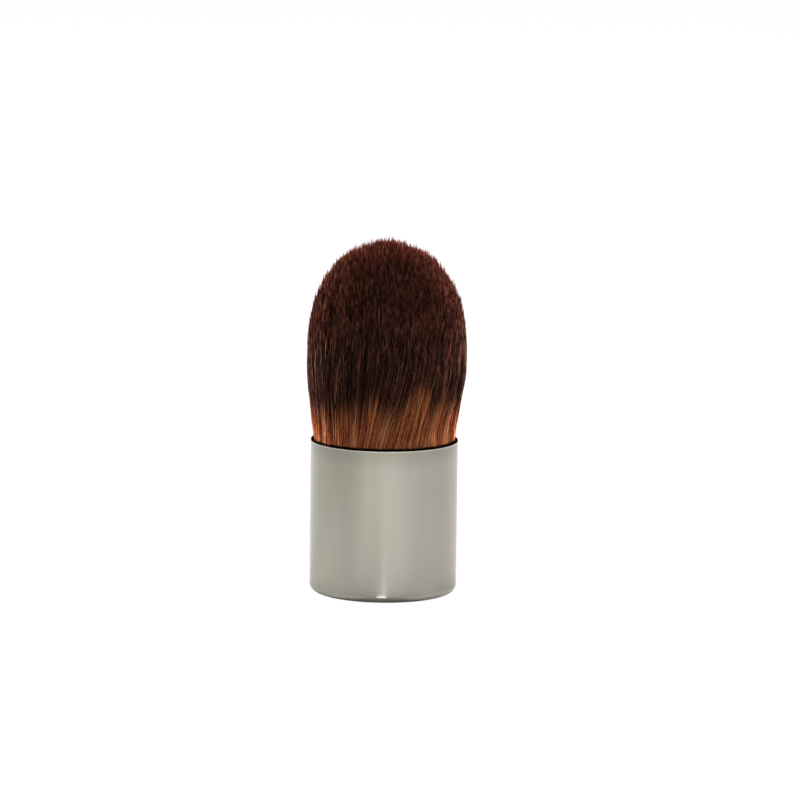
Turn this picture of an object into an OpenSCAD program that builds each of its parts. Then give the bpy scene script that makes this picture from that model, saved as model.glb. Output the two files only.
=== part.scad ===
// Short kabuki makeup brush: a drawn metal cup, weighted in its foot, holds a domed tuft of
// tapered fibre. Millimetres, +Z up, origin at the centre of the face that it stands on.

/* [Cup] */
// Outside diameter of the drawn metal cup
cup_d = 30; // [28:0.5:36]
// Height of the cup from the table to its lip
cup_h = 31.5; // [27:0.5:40]
// Thickness of the cup's side wall
cup_wall = 0.4; // [0.35:0.05:0.7]
// Thickness of the cup's floor
cup_floor = 0.6; // [0.4:0.1:1.5]
// Outside radius of the rounded bottom edge
foot_round = 2.1; // [1.2:0.1:2.4]

/* [Tuft] */
// Height of the tuft's top above the cup's lip
tuft_h = 41; // [34:0.5:50]
// Diameter of the tuft where it is widest
tuft_d = 32.4; // [30:0.2:38]
// Height of the widest place above the cup's lip
bulge_up = 16.9; // [12:0.1:20]
// Fullness of the dome, where 2 is an ellipse and more is squarer
dome_power = 2.35; // [1.8:0.05:3]
// Gap all round between the fibre and the cup at the lip
mouth_gap = 0.25; // [0.1:0.05:0.5]
// Rings of strands from the middle out, where ring k has 6k strands less its inner corners
strand_rings = 10; // [9:1:11]
// Share of its place in the bundle that a strand's section fills above the lip
strand_fill = 0.86; // [0.6:0.02:0.94]
// Most that a tip stands above or below its place on the dome
tip_scatter = 0.6; // [0:0.1:1]
// Most that a ring of strands turns about the axis between its roots and the dome, in degrees
swirl = 7; // [0:0.5:10]

/* [Roots] */
// Outside diameter of the metal sleeve round the roots
sleeve_d = 26; // [24:0.25:26.25]
// Wall of the metal sleeve
sleeve_wall = 0.4; // [0.3:0.05:0.6]
// Height of the metal sleeve
sleeve_h = 13; // [12:0.5:16]
// Width of the sleeve's inturned bottom flange
sleeve_flange = 1.2; // [0.8:0.1:3]
// Height of the cast block that holds the roots
block_h = 8.4; // [7:0.1:9.5]
// Thickness of the slice of set fibre that carries the strands
slice_h = 1; // [0.6:0.1:1.5]
// Height of the band of binding thread
thread_h = 3; // [1:0.1:4]
// Thickness of the band of binding thread
thread_t = 0.7; // [0.4:0.1:1.2]

/* [Insert and weight] */
// Thickness of the insert's web between the weight and the roots
web_t = 2; // [1.2:0.1:3]
// Gap for glue between the insert and the cup's wall
glue_gap = 0.3; // [0.2:0.05:0.4]
// Depth of the glue groove in the insert
groove_depth = 0.4; // [0.2:0.05:0.5]
// Height of the bead of glue
bead_h = 3; // [1:0.1:4]
// Number of crush ribs round the insert
rib_count = 6; // [4:1:16]
// Width of a crush rib
rib_w = 1.2; // [0.6:0.1:3]
// Height of a crush rib
rib_h = 9; // [4:0.5:10]
// Height of a rib's foot above the insert's bottom edge
rib_lift = 0.5; // [0:0.1:1]
// Wall of the insert round the weight
skirt_wall = 1.6; // [1:0.1:2.5]
// Thickness of the steel weight
weight_t = 4; // [2:0.1:5]
// Bevel on the weight's edges
weight_bevel = 0.4; // [0.1:0.1:0.8]
// Thickness of the foam pad under the weight
pad_t = 1; // [0.5:0.1:2]

/* [Fits] */
// Radial clearance between pieces that slip together
fit_gap = 0.05; // [0.02:0.01:0.1]
// Radial clearance round the foam pad
pad_gap = 0.3; // [0.1:0.1:1]

/* [Hidden] */
$fn = 96;

cup_r = cup_d / 2;
cup_bore_r = cup_r - cup_wall;
bore_round = foot_round - cup_wall;

// The stack in the foot, from the floor up
weight_z = cup_floor + pad_t;
web_z = weight_z + weight_t;
root_z = web_z + web_t;
sleeve_top_z = root_z + sleeve_h;

insert_r = cup_bore_r - glue_gap;
skirt_z = cup_floor + bore_round;
weight_r = insert_r - skirt_wall - fit_gap;
pad_r = min(weight_r, cup_bore_r - bore_round) - pad_gap;
rib_z = skirt_z + rib_lift;
bead_z = (rib_z + rib_h + sleeve_top_z - bead_h) / 2;
groove_r = insert_r - groove_depth;

sleeve_r = sleeve_d / 2;
sleeve_bore_r = sleeve_r - sleeve_wall;
block_r = sleeve_bore_r - fit_gap;
plug_r = sleeve_bore_r - sleeve_flange - fit_gap;
thread_z = root_z + sleeve_wall + (block_h - sleeve_wall - thread_h) / 2;

// The tuft fans out in a straight line from the slice, through the sleeve's top and the cup's lip
slice_z = root_z + block_h;
strand_z = slice_z + slice_h;
mouth_r = cup_bore_r - mouth_gap;
gather_r = sleeve_bore_r - fit_gap;
fan_slope = (mouth_r - gather_r) / (cup_h - sleeve_top_z);
root_r = gather_r - fan_slope * (sleeve_top_z - strand_z);
tuft_r = tuft_d / 2;
bulge_z = cup_h + bulge_up;
dome_h = tuft_h - bulge_up;

// Where a strand's middle and last sections lie between the lip and its tip, how far the middle
// one is moved by chance, and how far the last one is drawn in
middle_share = 0.45;
middle_scatter = 0.05;
last_share = 0.85;
last_fill = 0.8;

// Steps in the arcs of the cup's outline
foot_steps = 5;
lip_steps = 4;
bore_steps = 2;

// How far a cut runs past the face that it opens, and how deep a rib is rooted in its wall
over = 1;
rib_root = 0.5;

// Outside radius of the fan of fibre at height z: straight to the lip, then a smooth curve that
// starts with the same slope and is upright at the widest place, and upright above it
function fan_r(z) =
    z <= cup_h ? mouth_r - fan_slope * (cup_h - z) :
    z >= bulge_z ? tuft_r :
    let (t = (z - cup_h) / bulge_up)
    mouth_r + fan_slope * bulge_up * (t * t * t - 2 * t * t + t)
        + (tuft_r - mouth_r) * (3 * t * t - 2 * t * t * t);

// Height of the dome over the share s of the fan's radius
function dome_z(s) = bulge_z + dome_h * pow(1 - s * s, 1 / dome_power);

// A number from -1 to 1 that looks random but is the same each time
function scatter(i) = sin(i * 137.5 + 410 * sin(i * 77));

// The slice's top is a net of triangles on rings of points, where ring k has 6k points. Those that
// stand on ring k carry the strands, and those that hang from it between them stay flat.
function net_point(k, j) = k == 0 ? [0, 0] :
    let (a = 60 * j / k) [cos(a), sin(a)] * k / strand_rings;
function net_index(k, j) = k == 0 ? 0 : 1 + 3 * k * (k - 1) + j % (6 * k);

net_points = [for (k = [0:strand_rings], j = [0:max(6 * k - 1, 0)]) net_point(k, j)];
standing = [for (k = [1:strand_rings], s = [0:5], i = [0:k - 1])
    [net_index(k - 1, s * (k - 1) + i), net_index(k, s * k + i), net_index(k, s * k + i + 1)]];
standing_ring = [for (k = [1:strand_rings], s = [0:6 * k - 1]) k];
hanging = [for (k = [2:strand_rings], s = [0:5], i = [0:k - 2])
    [net_index(k - 1, s * (k - 1) + i), net_index(k - 1, s * (k - 1) + i + 1),
     net_index(k, s * k + i + 1)]];

// A point p of ring k's share of the bundle, carried up the fan to height z. Each ring turns by its
// own angle on the way, and stays between the circles of its neighbours, so no strands cross.
function carried(p, k, z) =
    let (a = swirl * scatter(k) * (z - strand_z) / (cup_h + tuft_h - strand_z), r = fan_r(z))
    [(p[0] * cos(a) - p[1] * sin(a)) * r, (p[0] * sin(a) + p[1] * cos(a)) * r, z];

// Section of a strand at height z, drawn in to the share fill about its own centre
function section(tri, c, k, z, fill) =
    [for (v = tri) carried(c + (net_points[v] - c) * fill, k, z)];

// The ten points of strand n: sections at the lip, about half way and near the end, then the tip
function strand_points(n) =
    let (tri = standing[n], k = standing_ring[n],
         c = (net_points[tri[0]] + net_points[tri[1]] + net_points[tri[2]]) / 3,
         end_z = dome_z(norm(c) - 1 / (3 * strand_rings)) + tip_scatter * scatter(n),
         free = end_z - cup_h, middle = middle_share + middle_scatter * scatter(n + len(standing)))
    concat(section(tri, c, k, cup_h, strand_fill),
           section(tri, c, k, cup_h + middle * free, strand_fill),
           section(tri, c, k, cup_h + last_share * free, strand_fill * last_fill),
           [carried(c, k, end_z)]);

// The two faces of one side of a strand, between section corners a, b and the next ones c, d
function side_faces(a, b, c, d) = [[a, c, b], [b, c, d]];

// The faces of a strand whose own points begin at index first
function strand_faces(tri, first) =
    let (rows = [tri, [first, first + 1, first + 2], [first + 3, first + 4, first + 5],
                 [first + 6, first + 7, first + 8]], tip = first + 9)
    concat([for (row = [0:2], e = [0:2]) each side_faces(rows[row][e], rows[row][(e + 1) % 3],
                rows[row + 1][e], rows[row + 1][(e + 1) % 3])],
           [for (e = [0:2]) [rows[3][e], tip, rows[3][(e + 1) % 3]]]);

// Points of an arc of radius r about x, y, from one angle to another in equal steps
function arc(x, y, r, from, to, steps) = [for (i = [0:steps])
    let (a = from + (to - from) * i / steps) [x + r * cos(a), y + r * sin(a)]];

// A ring of square section between two radii and two heights
module band(r_in, r_out, z_low, z_high) {
    rotate_extrude() translate([r_in, z_low]) square([r_out - r_in, z_high - z_low]);
}

module outer_cup() {
    lip_r = cup_wall / 2;
    color([0.66, 0.65, 0.6]) rotate_extrude() polygon(concat(
        [[0, 0]],
        arc(cup_r - foot_round, foot_round, foot_round, -90, 0, foot_steps),
        arc(cup_r - lip_r, cup_h - lip_r, lip_r, 0, 180, lip_steps),
        arc(cup_bore_r - bore_round, cup_floor + bore_round, bore_round, 0, -90, bore_steps),
        [[0, cup_floor]]));
}

module inner_cup() {
    color([0.13, 0.13, 0.14]) {
        difference() {
            translate([0, 0, skirt_z]) cylinder(r = insert_r, h = sleeve_top_z - skirt_z);
            translate([0, 0, root_z]) cylinder(r = sleeve_r + fit_gap, h = sleeve_h + over);
            translate([0, 0, skirt_z - over])
                cylinder(r = insert_r - skirt_wall, h = web_z - skirt_z + over);
            band(groove_r, insert_r + over, bead_z, bead_z + bead_h);
        }
        for (i = [0:rib_count - 1]) rotate(360 * i / rib_count) crush_rib();
    }
}

module crush_rib() {
    translate([insert_r - rib_root, -rib_w / 2, rib_z])
        cube([rib_root + glue_gap - fit_gap, rib_w, rib_h]);
}

module adhesive_bead() {
    color([0.9, 0.86, 0.7]) band(groove_r, cup_bore_r, bead_z, bead_z + bead_h);
}

module ballast_disc() {
    color([0.5, 0.51, 0.53]) translate([0, 0, weight_z]) {
        cylinder(r1 = weight_r - weight_bevel, r2 = weight_r, h = weight_bevel);
        translate([0, 0, weight_bevel]) cylinder(r = weight_r, h = weight_t - 2 * weight_bevel);
        translate([0, 0, weight_t - weight_bevel])
            cylinder(r1 = weight_r, r2 = weight_r - weight_bevel, h = weight_bevel);
    }
}

module foam_pad() {
    color([0.2, 0.2, 0.2]) translate([0, 0, cup_floor]) cylinder(r = pad_r, h = pad_t);
}

module tuft_ring() {
    color([0.75, 0.75, 0.76]) {
        band(sleeve_bore_r, sleeve_r, root_z, root_z + sleeve_h);
        band(sleeve_bore_r - sleeve_flange, sleeve_bore_r + sleeve_wall / 2, root_z,
             root_z + sleeve_wall);
    }
}

module root_block() {
    color([0.75, 0.6, 0.35]) difference() {
        union() {
            translate([0, 0, root_z]) cylinder(r = plug_r, h = block_h);
            translate([0, 0, root_z + sleeve_wall])
                cylinder(r = block_r, h = block_h - sleeve_wall);
        }
        band(block_r - thread_t, block_r + over, thread_z, thread_z + thread_h);
    }
}

module binding_thread() {
    color([0.85, 0.83, 0.78]) band(block_r - thread_t, block_r, thread_z, thread_z + thread_h);
}

module bristle_tuft() {
    edge = 6 * strand_rings;
    first_edge = net_index(strand_rings, 0);
    slice_top = len(net_points);
    slice_bottom = slice_top + edge;
    bottom_centre = slice_bottom + edge;
    first_strand = bottom_centre + 1;
    rim = [for (j = [0:edge - 1]) net_point(strand_rings, j) * block_r];
    points = concat(
        [for (p = net_points) [p[0] * root_r, p[1] * root_r, strand_z]],
        [for (p = rim) [p[0], p[1], strand_z]],
        [for (p = rim) [p[0], p[1], slice_z]],
        [[0, 0, slice_z]],
        [for (n = [0:len(standing) - 1]) each strand_points(n)]);
    faces = concat(
        hanging,
        [for (j = [0:edge - 1]) let (next = (j + 1) % edge) each concat(
            side_faces(slice_top + j, slice_top + next, first_edge + j, first_edge + next),
            side_faces(slice_bottom + j, slice_bottom + next, slice_top + j, slice_top + next),
            [[bottom_centre, slice_bottom + j, slice_bottom + next]])],
        [for (n = [0:len(standing) - 1]) each strand_faces(standing[n], first_strand + 10 * n)]);
    color([0.22, 0.11, 0.07]) polyhedron(points = points, faces = faces, convexity = 10);
}

outer_cup();
inner_cup();
adhesive_bead();
ballast_disc();
foam_pad();
tuft_ring();
root_block();
binding_thread();
bristle_tuft();
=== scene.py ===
"""The looks of a short kabuki makeup brush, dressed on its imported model.

Metres, +Z up, +Y away from the camera. The cup's solid is replaced by a lathed cup, and the tuft's solid
by 39,000 fibres. The seven pieces inside the cup stay as they are and get materials."""

import math

import bpy
import numpy as np
from mathutils import Matrix, Vector


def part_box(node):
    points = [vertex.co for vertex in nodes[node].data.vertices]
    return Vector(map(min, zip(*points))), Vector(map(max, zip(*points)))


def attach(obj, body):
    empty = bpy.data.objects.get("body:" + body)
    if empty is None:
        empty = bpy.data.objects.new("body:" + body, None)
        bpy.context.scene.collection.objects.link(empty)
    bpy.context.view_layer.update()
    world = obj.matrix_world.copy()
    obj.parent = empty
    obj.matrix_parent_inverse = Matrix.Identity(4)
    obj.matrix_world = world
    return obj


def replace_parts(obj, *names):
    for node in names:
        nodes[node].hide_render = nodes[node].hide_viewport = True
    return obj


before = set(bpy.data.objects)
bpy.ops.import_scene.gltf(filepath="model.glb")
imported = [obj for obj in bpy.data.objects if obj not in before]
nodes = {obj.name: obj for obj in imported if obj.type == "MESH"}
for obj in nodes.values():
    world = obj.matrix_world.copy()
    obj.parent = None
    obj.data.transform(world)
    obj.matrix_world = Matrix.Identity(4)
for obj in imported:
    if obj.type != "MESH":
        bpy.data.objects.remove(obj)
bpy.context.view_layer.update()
MM = 0.001
chance = np.random.default_rng(41)

# Camera, fitted to the cup's outline in the photograph
AIM_HEIGHT = 36 * MM
CAMERA_DISTANCE = 1009.2078 * MM
CAMERA_ELEVATION = math.radians(9.1392)
CAMERA_PITCH = math.radians(0.1938)
CAMERA_YAW = math.radians(0.178)
CAMERA_ROLL = math.radians(0.6886)
LENS = 222.65
SENSOR = 36

# Cup, from the frame: its wall and floor end where the glue and the foam pad begin
CUP_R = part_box("outer_cup")[1].x
CUP_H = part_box("outer_cup")[1].z
BORE_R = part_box("adhesive_bead")[1].x
CUP_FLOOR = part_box("foam_pad")[0].z
FOOT_ROUND = 1.6 * MM
CUP_SEGMENTS = 256

# Tuft, with the same sizes as its solid
SLICE_H = 1 * MM
MOUTH_GAP = 0.25 * MM
ROOT_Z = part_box("root_block")[1].z + SLICE_H
MOUTH_R = BORE_R - MOUTH_GAP
SLEEVE_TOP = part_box("tuft_ring")[1].z
GATHER_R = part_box("root_block")[1].x
FAN_SLOPE = (MOUTH_R - GATHER_R) / (CUP_H - SLEEVE_TOP)
TUFT_R = 16.2 * MM
BULGE_UP = 16.9 * MM
BULGE_Z = CUP_H + BULGE_UP
DOME_H = 24.1 * MM
DOME_POWER = 2.35
LEAN_FULL = 42 * MM
LEAN_END = 58 * MM

# Fibre. Those beyond SHEATH_SHARE of the fan's radius make the sheath, whose tubes have more rings.
WISPS = 13000
WISP_FIBRES = 3
FIBRES = WISPS * WISP_FIBRES
FIBRE_R = 0.073 * MM
TAPER_LENGTH = 1.2 * MM
MEAN_TONE = 0.36
WISP_TONE = 0.05
FIBRE_TONE = 0.34
BRIGHT_SHARE = 0.07
BRIGHT_TONE = 0.5
MEAN_SLOPE = np.radians(4)
FRONT_SLOPE = np.radians(9)
FIBRE_SLOPE = np.radians(1.8)
SWAY = 0.07 * MM
SHEATH_SHARE = 0.86
SHEATH_LEVELS = 13
CORE_LEVELS = 7
TIP_SCATTER = 0.22 * MM
STRAY = 0.32 * MM
SHORT = 2.4 * MM
FLUFF = 0.02 * MM
PIECE_TRIANGLES = 190000
GOLDEN_ANGLE = math.pi * (3 - math.sqrt(5))
FRONT = -math.pi / 2

# Streaks seen on the front: their place round the axis from the front and their width, both in radians,
# and how far they move the tone and the height of the colour change
STREAKS = (
    (-1.0, 0.1, 0.0, -1.0 * MM),
    (-0.88, 0.06, -0.12, 0.0),
    (-0.58, 0.08, 0.24, 1.5 * MM),
    (-0.33, 0.06, 0.1, 0.8 * MM),
    (-0.05, 0.08, -0.1, -0.7 * MM),
    (0.56, 0.07, 0.0, -1.8 * MM),
    (0.78, 0.08, 0.1, 1.4 * MM),
)

# Locks of each level: their count, pull towards their middle, and how far they move the tone, the slope
# in degrees, the depth and the height of the colour change
LOCKS = (
    (60, 0.05, 0.04, 1.0, 0.0, 0.5 * MM),
    (520, 0.18, 0.12, 1.8, 0.2 * MM, 0.8 * MM),
    (2600, 0.22, 0.13, 1.4, 0.12 * MM, 0.6 * MM),
)

# Marks along a fibre's own colour map: the shaded stretch at the cup's mouth, the change from copper to
# dark, and the tip. A fibre's surface takes FIBRE_COLUMN of the map's width.
MOUTH_START = 0.1
MOUTH_END = 0.2
CHANGE_START = 0.3
CHANGE_END = 0.6
TIP_START = 0.94
MOUTH_LOW = CUP_H - 0.05 * MM
MOUTH_HIGH = CUP_H + 0.35 * MM
CHANGE_LENGTH = 7 * MM
TIP_LENGTH = 3 * MM
FIBRE_COLUMN = 0.02


def paint(red, green, blue):
    """Linear colour of an sRGB colour given from 0 to 255."""
    share = np.array([red, green, blue]) / 255
    linear = np.where(share <= 0.04045, share / 12.92, ((share + 0.055) / 1.055) ** 2.4)
    return (*linear.tolist(), 1.0)


def ease(x):
    """Smooth step from 0 to 1: 3 x^2 - 2 x^3 between its ends."""
    x = np.clip(x, 0, 1)
    return x * x * (3 - 2 * x)


class Wire:
    """A value in a shader's node tree. Arithmetic on it adds Math nodes."""

    def __init__(self, tree, socket=None):
        self.tree = tree
        self.socket = socket

    def node(self, kind, settings=None, sockets=None, out=0):
        """Adds a node. Its settings, such as a ramp's stops, are set first, then the values or links of
        its sockets. Returns one of its outputs as a wire."""
        made = self.tree.nodes.new("ShaderNode" + kind)
        for name, value in (settings or {}).items():
            if name == "stops":
                set_stops(made.color_ramp, value)
            else:
                setattr(made, name, value)
        for name, value in (sockets or {}).items():
            if isinstance(value, Wire):
                self.tree.links.new(value.socket, made.inputs[name])
            else:
                made.inputs[name].default_value = value
        return Wire(self.tree, made.outputs[out] if len(made.outputs) else None)

    def math(self, operation, first, second=0.0):
        """Adds a Math node."""
        return self.node("Math", {"operation": operation}, {0: first, 1: second})

    def __add__(self, other):
        return self.math("ADD", self, other)

    def __sub__(self, other):
        return self.math("SUBTRACT", self, other)

    def __rsub__(self, other):
        return self.math("SUBTRACT", other, self)

    def __mul__(self, other):
        return self.math("MULTIPLY", self, other)

    def __truediv__(self, other):
        return self.math("DIVIDE", self, other)

    __radd__ = __add__
    __rmul__ = __mul__

    def between(self, low, high):
        """0 below low, 1 above high and a smooth step between them."""
        settings = {"interpolation_type": "SMOOTHSTEP"}
        return self.node("MapRange", settings, {"Value": self, "From Min": low, "From Max": high})

    def mix(self, first, second):
        """Colour that goes from the first to the second as this value goes from 0 to 1."""
        return self.node("Mix", {"data_type": "RGBA"}, {"Factor": self, 6: first, 7: second}, out=2)

    def ramp(self, *stops):
        """Colour ramp over this value, from pairs of a place and a colour."""
        return self.node("ValToRGB", {"stops": stops}, {"Fac": self}, out="Color")


def set_stops(ramp, stops):
    """Gives a colour ramp its stops, pairs of a place and a colour."""
    while len(ramp.elements) < len(stops):
        ramp.elements.new(0.5)
    for element, (place, colour) in zip(ramp.elements, stops):
        element.position = place
        element.color = colour


def new_shader(data):
    """An empty node tree on a material or world, as a wire that adds nodes to it."""
    data.use_nodes = True
    data.node_tree.nodes.clear()
    return Wire(data.node_tree)


def principled(shade, **sockets):
    """Ends a material's tree in one Principled shader, whose sockets are named with _ for a space."""
    named = {name.replace("_", " "): value for name, value in sockets.items()}
    surface = shade.node("BsdfPrincipled", {}, named, out="BSDF")
    shade.node("OutputMaterial", {}, {"Surface": surface})


def place_of(shade):
    """Object coordinates."""
    return shade.node("TexCoord", out="Object")


def grain(shade, scale, detail=2.0, stretch=(1, 1, 1)):
    """Noise of that many cells to the metre over the object, drawn out along an axis whose stretch is
    under 1."""
    spread = shade.node("Mapping", {}, {"Vector": place_of(shade), "Scale": stretch})
    return shade.node("TexNoise", {}, {"Vector": spread, "Scale": scale, "Detail": detail})


def bumped(shade, height, depth, strength):
    """A normal from a height, which is 0 to 1 over that depth in metres."""
    return shade.node("Bump", {}, {"Height": height, "Distance": depth, "Strength": strength})


# Materials

def satin_cup_metal():
    """Drawn and plated cup: warm grey, satin, with a faint drift of tone, a painted shade under the lip, a
    bright cut edge that is also a painted highlight of the lip, and above it a lip sealed in black."""
    material = bpy.data.materials.new("satin_cup_metal")
    shade = new_shader(material)
    drift = grain(shade, 55.0, 1.0, (1, 1, 0.6))
    plating = drift.ramp(
        (0.3, paint(174, 171, 156)),
        (0.5, paint(177, 172, 161)),
        (0.7, paint(180, 174, 164)),
    )
    height = shade.node("SeparateXYZ", {}, {"Vector": place_of(shade)}, out="Z")
    # Painted shade: the wall goes darker from 4.5 mm to 0.8 mm below the top of the lip
    painted_shade_under_lip = 0.62 * height.between(CUP_H - 4.5 * MM, CUP_H - 0.8 * MM)
    wall = painted_shade_under_lip.mix(plating, paint(152, 148, 137))
    # Bright band at the cut edge, painted lighter also as the lip's highlight
    cut = height.between(CUP_H - 0.55 * MM, CUP_H - 0.4 * MM)
    sealed = height.between(CUP_H - 0.31 * MM, CUP_H - 0.27 * MM)
    colour = sealed.mix(cut.mix(wall, paint(205, 196, 184)), paint(8, 5, 4))
    speckle = grain(shade, 9000.0, 2.0)
    wear = grain(shade, 260.0, 3.0)
    principled(
        shade,
        Base_Color=colour,
        Metallic=1 - sealed,
        Specular_IOR_Level=0.0,
        Specular_Tint=(0.85, 0.85, 0.85, 1),
        Roughness=0.15 + 0.06 * wear + 0.5 * sealed,
        Normal=bumped(shade, speckle, 0.002 * MM, 0.35),
    )
    return material


def two_tone_fibre():
    """Fibre from its own map: across is the fibre's tone from dark to bright, along is root to tip. Noise
    breaks the tone into glints, which get longer and stronger towards the tip. The copper part is a little
    glossy, and the dark part goes from dull to downy with its tone. Light from behind comes through it,
    and its thin tip can be seen through."""
    material = bpy.data.materials.new("two_tone_fibre")
    shade = new_shader(material)
    own_map = shade.node("UVMap", {"uv_map": "OFBake"})
    own_tone = shade.node("SeparateXYZ", {}, {"Vector": own_map}, out="X")
    along = shade.node("SeparateXYZ", {}, {"Vector": own_map}, out="Y")
    # Painted light: the tone is raised from the root to a little above the cup's mouth, against the shade
    # near the lip
    painted_light_near_mouth = 1 - along.between(MOUTH_END, CHANGE_START)
    changed = along.between(CHANGE_START, CHANGE_END)
    upper = along.between(0.86, 0.98)
    tipped = along.between(0.983, 1.0)
    lines = 72 * shade.math("MINIMUM", along, 0.8) + 18 * shade.math("MAXIMUM", along, 0.8)
    place = shade.node("CombineXYZ", {}, {"X": 70 * own_tone, "Y": lines})
    glints = shade.node("TexNoise", {}, {"Vector": place, "Scale": 1.0, "Detail": 1.0})
    contrast = 1.6 - 0.3 * changed + 2.0 * upper
    tone = own_tone + 0.1 * painted_light_near_mouth + 0.08 * upper + contrast * (glints - 0.5)
    copper = tone.ramp(
        (0.0, paint(120, 52, 30)),
        (0.35, paint(222, 122, 77)),
        (0.7, paint(255, 162, 102)),
        (1.0, paint(255, 190, 126)),
    )
    dark = tone.ramp(
        (0.0, paint(2, 1, 1)),
        (0.4, paint(4, 2, 2)),
        (0.7, paint(27, 12, 10)),
        (1.0, paint(158, 92, 76)),
    )
    # Painted shade: the fibre is near-black up to the cup's mouth and turns copper just above it
    below_change = along.between(MOUTH_START, MOUTH_END).mix(paint(14, 6, 4), copper)
    colour = changed.mix(below_change, dark)
    glossy = {"Base Color": colour, "Roughness": 0.4, "Specular IOR Level": 0.16}
    plain = {"Base Color": colour, "Roughness": 0.5, "Specular IOR Level": 0.04}
    velvet = {"Sheen Weight": 1.0, "Sheen Roughness": 0.6, "Sheen Tint": (1.0, 0.41, 0.27, 1)}
    sleek = shade.node("BsdfPrincipled", {}, glossy)
    dull = shade.node("BsdfPrincipled", {}, plain)
    downy = shade.node("BsdfPrincipled", {}, plain | velvet)
    down = 0.12 + 0.88 * tone.between(0.0, 1.0)
    dark_part = shade.node("MixShader", {}, {0: down, 1: dull, 2: downy})
    opaque = shade.node("MixShader", {}, {0: changed, 1: sleek, 2: dark_part})
    through = shade.node("BsdfTranslucent", {}, {"Color": paint(206, 138, 112)})
    clear = shade.node("BsdfTransparent", {}, {"Color": paint(236, 160, 134)})
    body = shade.node("MixShader", {}, {0: 0.02 + 0.05 * tone + 0.22 * tipped, 1: opaque, 2: through})
    surface = shade.node("MixShader", {}, {0: 0.7 * tipped, 1: body, 2: clear})
    shade.node("OutputMaterial", {}, {"Surface": surface})
    return material


def black_insert_plastic():
    """Moulded black plastic with a fine matt texture."""
    material = bpy.data.materials.new("black_insert_plastic")
    shade = new_shader(material)
    cells = grain(shade, 2600.0, 3.0)
    principled(
        shade,
        Base_Color=cells.ramp((0.3, paint(24, 24, 26)), (0.7, paint(38, 38, 41))),
        Roughness=0.5 + 0.2 * cells,
        Normal=bumped(shade, cells, 0.02 * MM, 0.4),
    )
    return material


def amber_glue():
    """Cured glue, yellow with a cloudy drift."""
    material = bpy.data.materials.new("amber_glue")
    shade = new_shader(material)
    cloud = grain(shade, 420.0, 3.0)
    principled(
        shade,
        Base_Color=cloud.ramp((0.3, paint(214, 196, 138)), (0.7, paint(236, 224, 184))),
        Roughness=0.25 + 0.2 * cloud,
        Normal=bumped(shade, cloud, 0.06 * MM, 0.5),
    )
    return material


def turned_weight_steel():
    """Turned steel, with rings of tool marks about the axis and a little rust bloom."""
    material = bpy.data.materials.new("turned_weight_steel")
    shade = new_shader(material)
    rings = shade.node(
        "TexWave",
        {"wave_type": "RINGS", "rings_direction": "Z"},
        {"Vector": place_of(shade), "Scale": 900.0, "Distortion": 0.6, "Detail": 2.0},
        out="Fac",
    )
    bloom = grain(shade, 300.0, 4.0)
    principled(
        shade,
        Base_Color=bloom.ramp((0.4, paint(176, 178, 181)), (0.75, paint(150, 140, 128))),
        Metallic=1.0,
        Roughness=0.28 + 0.18 * rings,
        Normal=bumped(shade, rings, 0.01 * MM, 0.4),
    )
    return material


def grey_foam():
    """Closed-cell foam: dark grey with small round cells."""
    material = bpy.data.materials.new("grey_foam")
    shade = new_shader(material)
    cells = shade.node("TexVoronoi", {}, {"Vector": place_of(shade), "Scale": 3200.0}, out="Distance")
    principled(
        shade,
        Base_Color=cells.ramp((0.0, paint(30, 30, 31)), (0.6, paint(72, 72, 74))),
        Roughness=0.85,
        Specular_IOR_Level=0.3,
        Normal=bumped(shade, cells, 0.12 * MM, 0.6),
    )
    return material


def drawn_sleeve_aluminium():
    """Bright aluminium with draw lines along the axis."""
    material = bpy.data.materials.new("drawn_sleeve_aluminium")
    shade = new_shader(material)
    lines = grain(shade, 4200.0, 2.0, (1, 1, 0.02))
    principled(
        shade,
        Base_Color=lines.ramp((0.3, paint(208, 209, 211)), (0.7, paint(226, 226, 227))),
        Metallic=1.0,
        Roughness=0.22 + 0.16 * lines,
        Normal=bumped(shade, lines, 0.006 * MM, 0.4),
    )
    return material


def cast_root_epoxy():
    """Cast epoxy, brown with the fibre roots showing as fine specks."""
    material = bpy.data.materials.new("cast_root_epoxy")
    shade = new_shader(material)
    roots = shade.node("TexVoronoi", {}, {"Vector": place_of(shade), "Scale": 7000.0}, out="Distance")
    cloud = grain(shade, 350.0, 3.0)
    resin = cloud.ramp((0.3, paint(150, 98, 48)), (0.7, paint(186, 134, 76)))
    principled(
        shade,
        Base_Color=roots.between(0.15, 0.45).mix(paint(104, 58, 34), resin),
        Roughness=0.16 + 0.12 * cloud,
        Normal=bumped(shade, cloud, 0.04 * MM, 0.4),
    )
    return material


def wound_binding_thread():
    """Waxed thread wound in close turns, each turn 0.3 mm high."""
    material = bpy.data.materials.new("wound_binding_thread")
    shade = new_shader(material)
    turns = shade.node(
        "TexWave",
        {"wave_type": "BANDS", "bands_direction": "Z"},
        {
            "Vector": place_of(shade),
            "Scale": 1050.0,
            "Distortion": 0.8,
            "Detail": 2.0,
            "Detail Scale": 3.0,
        },
        out="Fac",
    )
    principled(
        shade,
        Base_Color=turns.ramp((0.0, paint(150, 138, 114)), (0.6, paint(216, 207, 186))),
        Roughness=0.7,
        Normal=bumped(shade, turns, 0.1 * MM, 0.7),
    )
    return material


# Meshes

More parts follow.
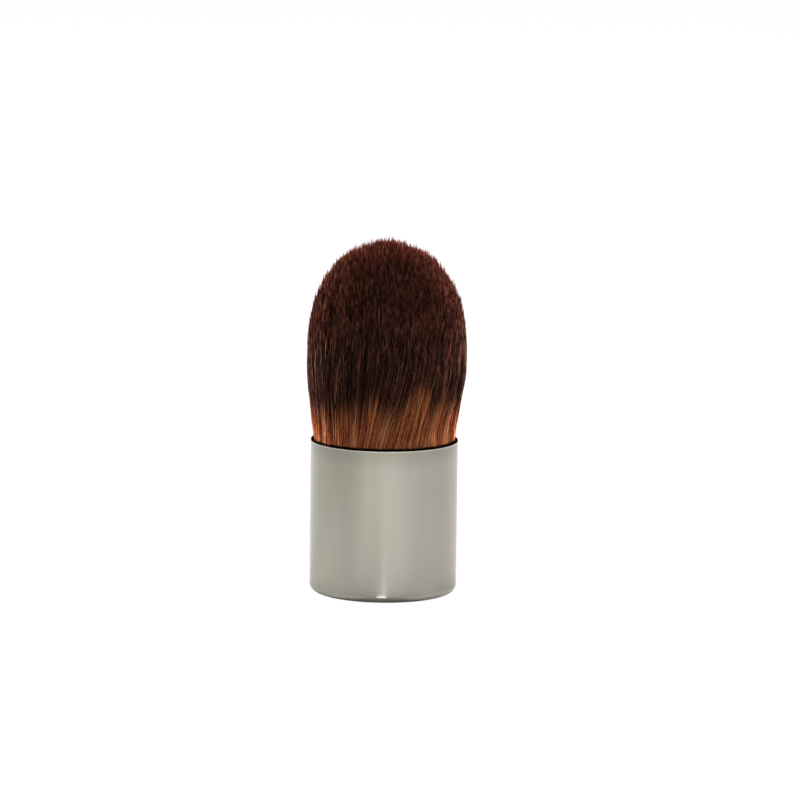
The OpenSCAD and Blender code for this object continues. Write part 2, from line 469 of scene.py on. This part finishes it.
def piece(name, points, corners, sizes, uv, material):
    """A smooth mesh object that rides on the body. corners holds the point of every face corner, sizes
    the number of corners of every face and uv the place of every corner on the colour map."""
    mesh = bpy.data.meshes.new(name)
    mesh.vertices.add(len(points))
    mesh.vertices.foreach_set("co", points.astype(np.float32).ravel())
    mesh.loops.add(len(corners))
    mesh.loops.foreach_set("vertex_index", corners.astype(np.int32))
    mesh.polygons.add(len(sizes))
    mesh.polygons.foreach_set("loop_start", (np.cumsum(sizes) - sizes).astype(np.int32))
    mesh.uv_layers.new(name="OFBake").data.foreach_set("uv", uv.astype(np.float32).ravel())
    mesh.update(calc_edges=True)
    mesh.shade_smooth()
    mesh.materials.append(material)
    made = bpy.data.objects.new(name, mesh)
    bpy.context.scene.collection.objects.link(made)
    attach(made, "root")
    return made


def arc(centre_r, centre_z, radius, start, end, steps):
    """Points (r, z) of an arc about a centre, in equal steps between two angles in degrees."""
    angle = np.radians(np.linspace(start, end, steps + 1))
    return np.stack([centre_r + radius * np.cos(angle), centre_z + radius * np.sin(angle)], 1)


def run(start, end, steps):
    """Points between two points of an outline, 0.12 mm from each end and in equal steps between."""
    edge = 0.12 * MM / math.hypot(end[0] - start[0], end[1] - start[1])
    share = np.concatenate([[edge], np.linspace(0, 1, steps + 1)[1:-1], [1 - edge]])
    return np.array(start) + share[:, None] * (np.array(end) - np.array(start))


def lathe(name, outline, segments, material):
    """A closed solid of revolution. Point i of the outline (r, z), whose first and last points are on
    the axis, makes the ring (r cos a, r sin a, z) with a = 2 pi j / segments."""
    inner = outline[1:-1]
    rings = len(inner)
    angle = 2 * math.pi * np.arange(segments) / segments
    x = inner[:, :1] * np.cos(angle)
    y = inner[:, :1] * np.sin(angle)
    z = np.repeat(inner[:, 1:], segments, axis=1)
    poles = [[0, 0, outline[0, 1]], [0, 0, outline[-1, 1]]]
    points = np.concatenate([np.stack([x, y, z], -1).reshape(-1, 3), poles])
    bottom = rings * segments
    top = bottom + 1
    j = np.arange(segments)
    after = (j + 1) % segments
    low = segments * np.arange(rings - 1)[:, None]
    high = low + segments
    quads = np.stack([low + j, low + after, high + after, high + j], -1)
    first_fan = np.stack([np.full(segments, bottom), after, j], -1)
    last_fan = np.stack([bottom - segments + j, bottom - segments + after, np.full(segments, top)], -1)
    corners = np.concatenate([quads.ravel(), first_fan.ravel(), last_fan.ravel()])
    sizes = np.concatenate([np.full(len(quads.reshape(-1, 4)), 4), np.full(2 * segments, 3)])
    step = np.linalg.norm(np.diff(outline, axis=0), axis=1)
    along = np.concatenate([[0], np.cumsum(step)]) / step.sum()
    u = j / segments
    u_half = u + 0.5 / segments
    u_after = u + 1 / segments
    v_low = along[1:-2, None] + u * 0
    v_high = along[2:-1, None] + u * 0
    u_left = u + v_low * 0
    u_right = u_left + 1 / segments
    v = along[[0, 1, -2, -1], None] + u * 0
    uv_quads = np.stack([u_left, v_low, u_right, v_low, u_right, v_high, u_left, v_high], -1)
    uv_first = np.stack([u_half, v[0], u_after, v[1], u, v[1]], -1)
    uv_last = np.stack([u, v[2], u_after, v[2], u_half, v[3]], -1)
    uv = np.concatenate([part.reshape(-1, 2) for part in (uv_quads, uv_first, uv_last)])
    return piece(name, points, corners, sizes, uv, material)


def drawn_cup():
    """The cup's outline from the middle of its foot: foot round, wall, half round lip, bore and floor."""
    lip = (CUP_R - BORE_R) / 2
    bore_round = FOOT_ROUND - 2 * lip
    foot = arc(CUP_R - FOOT_ROUND, FOOT_ROUND, FOOT_ROUND, -90, 0, 20)
    edge = arc(CUP_R - lip, CUP_H - lip, lip, 0, 180, 12)
    bore = arc(BORE_R - bore_round, CUP_FLOOR + bore_round, bore_round, 0, -90, 10)
    outline = np.concatenate([
        [[0, 0]],
        run((0, 0), foot[0], 4),
        foot,
        run(foot[-1], edge[0], 12),
        edge,
        run(edge[-1], bore[0], 8),
        bore,
        run(bore[-1], (0, CUP_FLOOR), 4),
        [[0, CUP_FLOOR]],
    ])
    return lathe("cup_shell", outline, CUP_SEGMENTS, satin_cup_metal())


# Fibre

def fan_radius(z):
    """Outside radius of the fan at height z: a straight line to the lip, then a Hermite curve of the
    same slope to the widest place, and upright above it."""
    t = np.clip((z - CUP_H) / BULGE_UP, 0, 1)
    slope_part = FAN_SLOPE * BULGE_UP * (t ** 3 - 2 * t ** 2 + t)
    width_part = (TUFT_R - MOUTH_R) * (3 * t ** 2 - 2 * t ** 3)
    return MOUTH_R + FAN_SLOPE * np.minimum(z - CUP_H, 0) + (slope_part + width_part)


def dome_height(share):
    """Height of the dome over a share s of the fan's radius: BULGE_Z + DOME_H (1 - s^2)^(1 / power)."""
    return BULGE_Z + DOME_H * np.maximum(1 - share ** 2, 0) ** (1 / DOME_POWER)


def sunflower(count, scatter):
    """Points spread evenly over the unit disc: point i is sqrt((i + 0.5) / count) from the middle and i
    golden angles round, moved by chance by up to scatter times the spacing."""
    i = np.arange(count)
    reach = np.sqrt((i + 0.5) / count)
    points = np.stack([reach * np.cos(i * GOLDEN_ANGLE), reach * np.sin(i * GOLDEN_ANGLE)], 1)
    points += chance.uniform(-scatter, scatter, points.shape) * math.sqrt(math.pi / count)
    return points / np.maximum(np.linalg.norm(points, axis=1, keepdims=True), 1)


def nearest(points, centres):
    """Number of the centre that is nearest to each point, a part of the points at a time."""
    reach = np.sum(centres ** 2, axis=1)
    parts = [np.argmin(reach - 2 * part @ centres.T, axis=1) for part in np.array_split(points, 24)]
    return np.concatenate(parts)


def travel(z):
    """How far a leaning fibre has gone sideways at height z, per unit of its slope: straight up to
    LEAN_FULL, then less and less until it is upright at LEAN_END."""
    fade = np.clip(z - LEAN_FULL, 0, LEAN_END - LEAN_FULL)
    return np.clip(z, CUP_H, LEAN_FULL) - CUP_H + fade - fade ** 2 / (2 * (LEAN_END - LEAN_FULL))


def around(angle, centre, width):
    """Bell of height 1 about an angle round the axis, both in radians."""
    off = np.angle(np.exp(1j * (angle - centre)))
    return np.exp(-0.5 * (off / width) ** 2)


def crown_height(share):
    """Mean height of the tips over a share of the fan's radius: the dome, trimmed a little, with a shallow
    hollow ring round its middle, which leaves a slight point."""
    return dome_height(share) - 0.38 * MM - 0.4 * MM * np.exp(-(((share - 0.3) / 0.14) ** 2))


def change_height(angle):
    """Mean height of the colour change round the tuft: highest a little right of the front, lowest at the
    left, and wavy all round."""
    height = 38.8 * MM + 3.8 * MM * around(angle, FRONT + 0.36, 0.16)
    height += 0.4 * MM * around(angle, FRONT + 1.1, 0.35) - 2.4 * MM * around(angle, FRONT - 1.4, 0.4)
    return height + 0.6 * MM * np.sin(3 * (angle - FRONT) + 0.8)


def grow_fibre():
    """Works out every fibre. Wisps of a few fibres stand in a sunflower pattern, and locks gather the wisps
    round their middles. A wisp's tone, slope, depth, colour change and tip come from its place, its
    streaks, its locks and chance, and each of its fibres moves them a little further. The wisps lean most
    on the front. A few fibres are brighter, some tips stand out and others stop short."""
    wisp = sunflower(WISPS, 0.5)
    angle = np.arctan2(wisp[:, 1], wisp[:, 0])
    tone = MEAN_TONE + WISP_TONE * chance.normal(size=WISPS)
    # Painted shade: the tone is up to 0.2 lower away from the front, at the sides and back; streaks, locks
    # and bright fibres add to it
    lock_tone_and_side_shade = 0.2 * around(angle, FRONT, 1.0) - 0.2
    slope = MEAN_SLOPE + FRONT_SLOPE * around(angle, FRONT + 0.15, 0.36)
    depth = np.zeros(WISPS)
    change = change_height(angle) + 0.7 * MM * chance.normal(size=WISPS)
    for place, width, tone_by, change_by in STREAKS:
        bell = around(angle, FRONT + place, width)
        lock_tone_and_side_shade += tone_by * bell
        change += change_by * bell
    lock_pull = np.zeros_like(wisp)
    for count, pull, tone_by, slope_by, depth_by, change_by in LOCKS:
        centres = sunflower(count, 0.7)
        lock = nearest(wisp, centres)
        lock_pull += pull * (centres[lock] - wisp)
        lock_tone_and_side_shade += tone_by * chance.normal(size=count)[lock]
        slope += np.radians(slope_by) * chance.normal(size=count)[lock]
        depth -= depth_by * chance.random(count)[lock]
        change += change_by * chance.normal(size=count)[lock]
    tip = TIP_SCATTER * chance.normal(size=WISPS).clip(-1.5, 1.5)
    own = np.repeat(np.arange(WISPS), WISP_FIBRES)
    spread = 0.55 * math.sqrt(math.pi / WISPS)
    seed = wisp[own] + chance.uniform(-spread, spread, (FIBRES, 2))
    seed /= np.maximum(np.linalg.norm(seed, axis=1, keepdims=True), 1)
    share = np.linalg.norm(seed, axis=1)
    bright = BRIGHT_TONE * (chance.random(FIBRES) < BRIGHT_SHARE)
    stray = STRAY * chance.exponential(size=FIBRES).clip(0, 3.5)
    short = SHORT * (1 - share ** 6) * chance.random(FIBRES) ** 1.6
    ragged = 1 + 0.8 * share ** 4
    return {
        "seed": seed,
        "share": share,
        "angle": np.arctan2(seed[:, 1], seed[:, 0]),
        "tone": tone[own] + FIBRE_TONE * chance.normal(size=FIBRES),
        "lock_tone_and_side_shade": lock_tone_and_side_shade[own] + bright,
        "slope": np.tan(slope[own] + FIBRE_SLOPE * chance.normal(size=FIBRES)),
        "depth": depth[own] + 0.04 * MM * chance.normal(size=FIBRES),
        "change": change[own] + 0.4 * MM * chance.normal(size=FIBRES),
        "lock_pull": lock_pull[own],
        "wisp_pull": wisp[own] - seed,
        "tip": crown_height(share) + ragged * (tip[own] + stray) - short,
        "turn": chance.uniform(0, 2 * math.pi, FIBRES),
        "beat": 2 * math.pi / chance.uniform(8 * MM, 14 * MM, FIBRES),
    }


def tuft_offset(z):
    """How far the tuft's middle stands to the right of the cup's axis."""
    return 0.35 * MM * ease((z - CUP_H) / (14 * MM)) * (1 - 0.5 * ease((z - 58 * MM) / (14 * MM)))


def fibre_centres(fibre, z):
    """Centre of every fibre at its own heights z. Locks draw together above the lip and let go higher up,
    and wisps gather towards their tips. A fibre's share of the fan's radius is its place in the bundle.
    Its lean turns it about the axis, a slow wave sways it, and its depth sets it in below the colour
    change."""
    comb = ease((z - CUP_H) / (3 * MM)) * (1 - 0.9 * ease((z - 39 * MM) / (8 * MM)))
    gather = 0.12 * ease(1 - (fibre["tip"][:, None] - z) / (5 * MM))
    flat = fibre["seed"][:, None, :] + comb[..., None] * fibre["lock_pull"][:, None, :]
    flat = flat + gather[..., None] * fibre["wisp_pull"][:, None, :]
    share = np.linalg.norm(flat, axis=2)
    angle = np.arctan2(flat[..., 1], flat[..., 0])
    wave = fibre["beat"][:, None] * z + 7 * fibre["turn"][:, None]
    sway = SWAY * ease((z - CUP_H) / (5 * MM))
    angle = angle + (fibre["slope"][:, None] * travel(z) + sway * np.sin(wave)) / TUFT_R
    dip = ease((z - CUP_H) / (3 * MM)) * (1 - ease((z - 38 * MM) / (5 * MM)))
    fluff = FLUFF * ease((z - CUP_H) / (8 * MM))
    radius = share * (fan_radius(z) + fibre["depth"][:, None] * dip + fluff + sway * np.cos(wave))
    return np.stack([radius * np.cos(angle) + tuft_offset(z), radius * np.sin(angle), z], -1)


def fibre_levels(fibre, sheath):
    """Heights of every fibre's rings, lowest first: those of the sheath follow its curve closely."""
    tip = fibre["tip"]
    start = fibre["change"] - CHANGE_LENGTH / 2
    end = fibre["change"] + CHANGE_LENGTH / 2
    near_tip = [tip - TAPER_LENGTH, tip - 0.5 * MM, tip]
    levels = [tip * 0 + ROOT_Z, start, end]
    if sheath:
        levels += [tip * 0 + MOUTH_LOW, tip * 0 + MOUTH_HIGH, tip * 0 + CUP_H + 3 * MM]
        levels += [end + part * (tip - 2.8 * MM - end) for part in (0.25, 0.5, 0.75, 1.0)]
    else:
        levels += [tip - 4.5 * MM]
    return np.sort(np.stack(levels + near_tip, 1), axis=1)


def along_fibre(fibre, z):
    """Place along the colour map at heights z, from 0 at the root through the marks to 1 at the tip."""
    tip = fibre["tip"][:, None]
    start = fibre["change"][:, None] - CHANGE_LENGTH / 2
    end = start + CHANGE_LENGTH
    tip_start = np.maximum(tip - TIP_LENGTH, end + 0.5 * MM)
    marks = [(ROOT_Z, MOUTH_LOW, MOUTH_START), (MOUTH_LOW, MOUTH_HIGH, MOUTH_END - MOUTH_START),
             (MOUTH_HIGH, start, CHANGE_START - MOUTH_END), (start, end, CHANGE_END - CHANGE_START),
             (end, tip_start, TIP_START - CHANGE_END), (tip_start, tip, 1 - TIP_START)]
    return sum(span * np.clip((z - low) / (high - low), 0, 1) for low, high, span in marks)


def fibre_piece(name, fibre, sheath, material):
    """Closed three-sided tapered tubes. Corner k of a ring is its centre plus its radius towards the
    fibre's own turn plus 120 k degrees, and the last level is one point, the tip. The radius is FIBRE_R (d
    / TAPER_LENGTH)^0.6 at a distance d below the tip, and FIBRE_R further down. On the colour map a fibre
    is a column at its tone, and its lock's tone and the painted shade at the tuft's sides count less above
    the colour change."""
    z = fibre_levels(fibre, sheath)
    count, levels = z.shape
    rings = levels - 1
    radius = FIBRE_R * np.clip((fibre["tip"][:, None] - z) / TAPER_LENGTH, 0, 1) ** 0.6
    centre = fibre_centres(fibre, z)
    turn = fibre["turn"][:, None] + 2 * math.pi * np.arange(3) / 3
    spoke = np.stack([np.cos(turn), np.sin(turn), turn * 0], -1)
    ring = centre[:, :-1, None, :] + radius[:, :-1, None, None] * spoke[:, None]
    points = np.concatenate([ring.reshape(count, -1, 3), centre[:, -1:]], axis=1)
    band, side = (grid.ravel() for grid in np.meshgrid(np.arange(rings - 1), np.arange(3), indexing="ij"))
    after = (side + 1) % 3
    quads = np.stack([3 * band + side, 3 * band + after, 3 * band + 3 + after, 3 * band + 3 + side], -1)
    last = 3 * (rings - 1)
    tip_faces = [[last + k, last + (k + 1) % 3, last + 3] for k in range(3)]
    root_face = [0, 2, 1]
    corners = np.concatenate([quads.ravel(), np.ravel(tip_faces), root_face])
    quad_across = np.stack([side, side + 1, side + 1, side], -1).ravel()
    across = np.concatenate([quad_across, [0, 1, 0.5, 1, 2, 1.5, 2, 3, 2.5], [0, 3, 1.5]]) / 3
    quad_level = np.stack([band, band, band + 1, band + 1], -1).ravel()
    level = np.concatenate([quad_level, [rings - 1, rings - 1, rings] * 3, [0, 0, 0]]).astype(int)
    # The root's face gets some height on the map, so that it isn't a line there
    lift = np.zeros(len(corners))
    lift[-1] = 0.01
    kept = 1 - 0.65 * ease((z - fibre["change"][:, None]) / (4 * MM) + 0.5)
    tone = np.clip(fibre["tone"][:, None] + fibre["lock_tone_and_side_shade"][:, None] * kept, 0, 1)
    u = tone[:, level] * (1 - FIBRE_COLUMN) + FIBRE_COLUMN * across
    v = along_fibre(fibre, z)[:, level] + lift
    uv = np.stack([u, v], -1).reshape(-1, 2)
    all_corners = corners + points.shape[1] * np.arange(count)[:, None]
    sizes = np.tile(np.concatenate([np.full(len(quads), 4), np.full(4, 3)]), count)
    return piece(name, points.reshape(-1, 3), all_corners.ravel(), sizes, uv, material)


def fibre_tuft():
    """All the fibre, as a sheath of close-ringed fibres round a core of simpler ones, each in sectors that
    stay under PIECE_TRIANGLES. A fibre has 6 triangles between two rings and 4 at its ends."""
    fibre = grow_fibre()
    material = two_tone_fibre()
    order = np.argsort(fibre["angle"])
    for name, sheath, levels in (("tuft_sheath", True, SHEATH_LEVELS), ("tuft_core", False, CORE_LEVELS)):
        chosen = order[(fibre["share"][order] > SHEATH_SHARE) == sheath]
        triangles = len(chosen) * (6 * (levels - 2) + 4)
        for k, part in enumerate(np.array_split(chosen, math.ceil(triangles / PIECE_TRIANGLES))):
            some = {key: value[part] for key, value in fibre.items()}
            yield fibre_piece(f"{name}_{k + 1}", some, sheath, material)


# Studio

def camera():
    """The camera looks at the brush from the front and a little above, with the photograph's small roll."""
    data = bpy.data.cameras.new("camera")
    data.lens = LENS
    data.sensor_width = SENSOR
    made = bpy.data.objects.new("camera", data)
    bpy.context.scene.collection.objects.link(made)
    tilt = CAMERA_PITCH - CAMERA_ELEVATION
    ahead = Vector((
        math.sin(CAMERA_YAW) * math.cos(tilt),
        math.cos(CAMERA_YAW) * math.cos(tilt),
        math.sin(tilt),
    ))
    right = Vector((math.cos(CAMERA_YAW), -math.sin(CAMERA_YAW), 0))
    up = right.cross(ahead)
    rolled_right = right * math.cos(CAMERA_ROLL) + up * math.sin(CAMERA_ROLL)
    rolled_up = up * math.cos(CAMERA_ROLL) - right * math.sin(CAMERA_ROLL)
    place = Vector((
        0,
        -CAMERA_DISTANCE * math.cos(CAMERA_ELEVATION),
        AIM_HEIGHT + CAMERA_DISTANCE * math.sin(CAMERA_ELEVATION),
    ))
    turned = Matrix((rolled_right, rolled_up, -ahead)).transposed().to_4x4()
    made.matrix_world = Matrix.Translation(place) @ turned
    bpy.context.scene.camera = made


def seen_rays(shade):
    """1 for camera, glossy and transmission rays, and 0 for those that light the object."""
    camera_ray = shade.node("LightPath", out="Is Camera Ray")
    glossy_ray = shade.node("LightPath", out="Is Glossy Ray")
    transmission_ray = shade.node("LightPath", out="Is Transmission Ray")
    return shade.math("MAXIMUM", shade.math("MAXIMUM", camera_ray, glossy_ray), transmission_ray)


def white_room(ambient, overhead):
    """A room that is white where it is seen, and lights the object with less than that: an even part, and
    a part that grows towards the ceiling with the direction's z."""
    world = bpy.data.worlds.new("white_room")
    bpy.context.scene.world = world
    shade = new_shader(world)
    toward = shade.node("TexCoord", out="Generated")
    up = shade.math("MAXIMUM", shade.node("SeparateXYZ", {}, {"Vector": toward}, out="Z"), 0.0)
    seen = seen_rays(shade)
    strength = seen + (1 - seen) * (ambient + overhead * up)
    glow = shade.node("Background", {}, {"Color": (1, 1, 1, 1), "Strength": strength})
    shade.node("OutputWorld", {}, {"Surface": glow})


def greys(*numbers):
    """Stops of a ramp of greys, from a row of places and greys in turn."""
    return [(place, (grey, grey, grey, 1)) for place, grey in zip(numbers[::2], numbers[1::2])]


def table(reach, glow_share):
    """Pale table top that reads white and still takes the brush's shadow. What mirrors it sees painted
    light on it, bright towards the camera and dimmer to the sides, like a table lit by a window. Its greys
    run round the brush, from behind (0) by the left (0.25), the front (0.5) and the right (0.75). They are
    given under the cup's foot, near the brush and far from it."""
    mesh = bpy.data.meshes.new("table_top")
    corners = [(-reach, -reach, 0), (reach, -reach, 0), (reach, reach, 0), (-reach, reach, 0)]
    mesh.from_pydata(corners, [], [(0, 1, 2, 3)])
    made = bpy.data.objects.new("table_top", mesh)
    bpy.context.scene.collection.objects.link(made)
    material = bpy.data.materials.new("pale_table")
    shade = new_shader(material)
    glossy = shade.node("LightPath", out="Is Glossy Ray")
    place = place_of(shade)
    across = shade.node("SeparateXYZ", {}, {"Vector": place}, out="X")
    away = shade.node("SeparateXYZ", {}, {"Vector": place}, out="Y")
    azimuth = shade.math("ARCTAN2", across, 0 - away) / (2 * math.pi) + 0.5
    off = shade.node("VectorMath", {"operation": "LENGTH"}, {0: place}, out="Value")
    under = azimuth.ramp(*greys(
        0.16, 0.6, 0.3, 0.68, 0.35, 0.74, 0.41, 0.98,
        0.59, 0.98, 0.64, 0.8, 0.7, 0.7, 0.84, 0.62,
    ))
    near = azimuth.ramp(*greys(
        0.1, 0.56, 0.18, 0.495, 0.24, 0.51, 0.3, 0.543, 0.36, 0.595, 0.43, 0.61, 0.464, 0.582,
        0.483, 0.62, 0.505, 0.755, 0.535, 0.68, 0.65, 0.6, 0.72, 0.465, 0.78, 0.452, 0.86, 0.535,
    ))
    far = azimuth.ramp(*greys(
        0.1, 0.49, 0.18, 0.402, 0.24, 0.39, 0.3, 0.413, 0.36, 0.493, 0.43, 0.685,
        0.505, 0.775, 0.535, 0.773, 0.65, 0.602, 0.72, 0.488, 0.78, 0.43, 0.86, 0.455,
    ))
    beyond = off.between(20 * MM, 200 * MM).mix(near, far)
    window = off.between(16 * MM, 20 * MM).mix(under, beyond)
    # Painted light: glossy rays see the window greys, other rays a dim grey
    grey_and_painted_window_light = glossy.mix((0.22, 0.22, 0.22, 1), window)
    dull = {"Base Color": grey_and_painted_window_light, "Roughness": 1.0, "Specular IOR Level": 0.0}
    matt = shade.node("BsdfPrincipled", {}, dull)
    glow = shade.node("Emission", {}, {"Color": (1, 1, 1, 1), "Strength": 1.06})
    seen = shade.node("LightPath", out="Is Camera Ray")
    mixed = shade.node("MixShader", {}, {0: seen * glow_share, 1: matt, 2: glow})
    shade.node("OutputMaterial", {}, {"Surface": mixed})
    mesh.materials.append(material)


def softbox(name, azimuth, elevation, distance, size, radiance):
    """Square lamp of that side and radiance that faces the brush, at an azimuth from the front, to the
    right when positive. The cup doesn't mirror it."""
    data = bpy.data.lights.new(name, "AREA")
    data.shape = "SQUARE"
    data.size = size
    data.energy = radiance * math.pi * size ** 2
    made = bpy.data.objects.new(name, data)
    bpy.context.scene.collection.objects.link(made)
    turn = math.radians(azimuth)
    rise = math.radians(elevation)
    out = Vector((math.sin(turn) * math.cos(rise), -math.cos(turn) * math.cos(rise), math.sin(rise)))
    made.location = Vector((0, 0, AIM_HEIGHT)) + out * distance
    made.rotation_euler = out.to_track_quat("Z", "Y").to_euler()
    made.visible_glossy = False


def floor_strip(name, azimuth, near, far, width, radiance):
    """Narrow lamp that lies on the table and shines up, from one distance off the axis to another. It
    shows only in what mirrors it, as a streak up the cup."""
    data = bpy.data.lights.new(name, "AREA")
    data.shape = "RECTANGLE"
    data.size = width
    data.size_y = far - near
    data.energy = radiance * math.pi * width * (far - near)
    made = bpy.data.objects.new(name, data)
    bpy.context.scene.collection.objects.link(made)
    turn = math.radians(azimuth)
    middle = (near + far) / 2
    made.location = (math.sin(turn) * middle, -math.cos(turn) * middle, 0.3 * MM)
    made.rotation_euler = (math.pi, 0, turn)
    made.visible_camera = False
    made.visible_diffuse = False


bpy.context.scene.view_settings.view_transform = "Standard"
camera()
white_room(0.18, 0.34)
table(4.0, 0.93)
softbox("left_lamp", -131, 8, 1.2, 0.8, 24.0)
softbox("right_lamp", 131, 8, 1.2, 0.8, 23.0)
softbox("back_lamp", 180, 24, 1.2, 0.8, 8.5)
floor_strip("near_strip", -1, 16.2 * MM, 21 * MM, 2.6 * MM, 1.6)
floor_strip("far_strip", 1, 20 * MM, 60 * MM, 1.6 * MM, 0.3)

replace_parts(drawn_cup(), "outer_cup")
for part in fibre_tuft():
    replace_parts(part, "bristle_tuft")

finishes = {
    "inner_cup": black_insert_plastic,
    "adhesive_bead": amber_glue,
    "ballast_disc": turned_weight_steel,
    "foam_pad": grey_foam,
    "tuft_ring": drawn_sleeve_aluminium,
    "root_block": cast_root_epoxy,
    "binding_thread": wound_binding_thread,
}
for name, finish in finishes.items():
    nodes[name].data.materials.clear()
    nodes[name].data.materials.append(finish())
